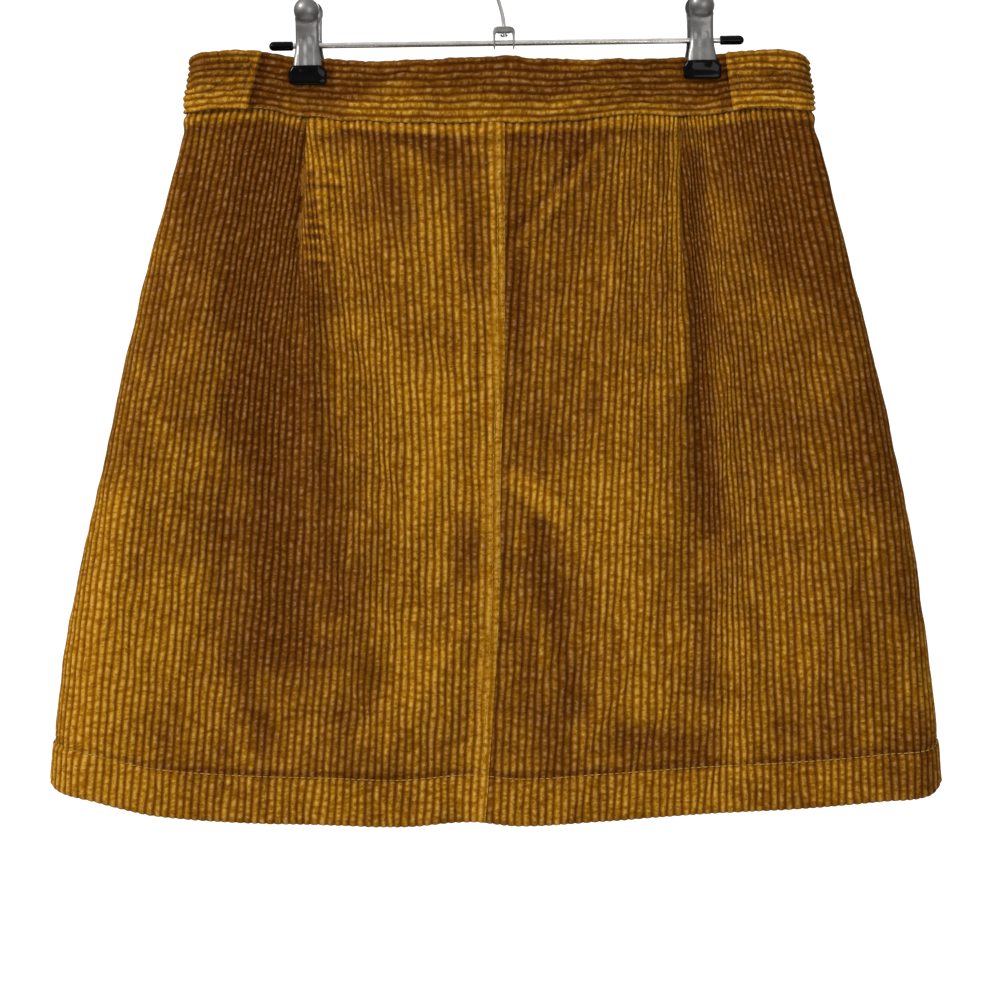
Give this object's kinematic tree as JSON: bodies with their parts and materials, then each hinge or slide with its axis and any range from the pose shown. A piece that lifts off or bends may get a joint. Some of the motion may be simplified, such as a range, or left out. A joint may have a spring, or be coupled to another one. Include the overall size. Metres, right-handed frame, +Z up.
{
  "type": "a-line skirt on clip hanger",
  "caption": "Flat-hung wide-wale corduroy mini skirt with a straight waistband, darts and a raised back seam, held by a clip hanger.",
  "frame": {"origin": "inside top of the hanger's hook, where it sits on a rail", "axes": "+Z up, the skirt's back faces -Y and its front +Y, +X along the hanger's bar to the wearer's right"},
  "size_m": [0.4972, 0.0468, 0.5321],
  "materials": {
    "corduroy": "mustard brown wide-wale corduroy, brushed pile",
    "button": "semi-matt brown",
    "zip_tape": "woven tape",
    "zip_metal": "satin",
    "hanger_metal": "polished",
    "hanger_rubber": "satin black"
  },
  "bodies": {
    "root": {"back_panel_left": "corduroy", "back_panel_right": "corduroy", "front_panel_left": "corduroy", "front_panel_right": "corduroy", "waistband_back": "corduroy", "waistband_front_a": "corduroy", "waistband_front_b": "corduroy", "waist_button": "button", "zip_tape": "zip_tape", "zip_slider": "zip_metal", "hanger_bar": "hanger_metal", "hanger_hook": "hanger_metal", "hanger_bracket": "hanger_metal", "bar_cap_a": "hanger_rubber", "bar_cap_b": "hanger_rubber", "clip_a_jaw_back": "hanger_metal", "clip_a_jaw_front": "hanger_metal", "clip_a_tip_back": "hanger_rubber", "clip_a_tip_front": "hanger_rubber", "clip_a_spring": "hanger_metal", "clip_b_jaw_back": "hanger_metal", "clip_b_jaw_front": "hanger_metal", "clip_b_tip_back": "hanger_rubber", "clip_b_tip_front": "hanger_rubber", "clip_b_spring": "hanger_metal"}
  },
  "joints": []
}
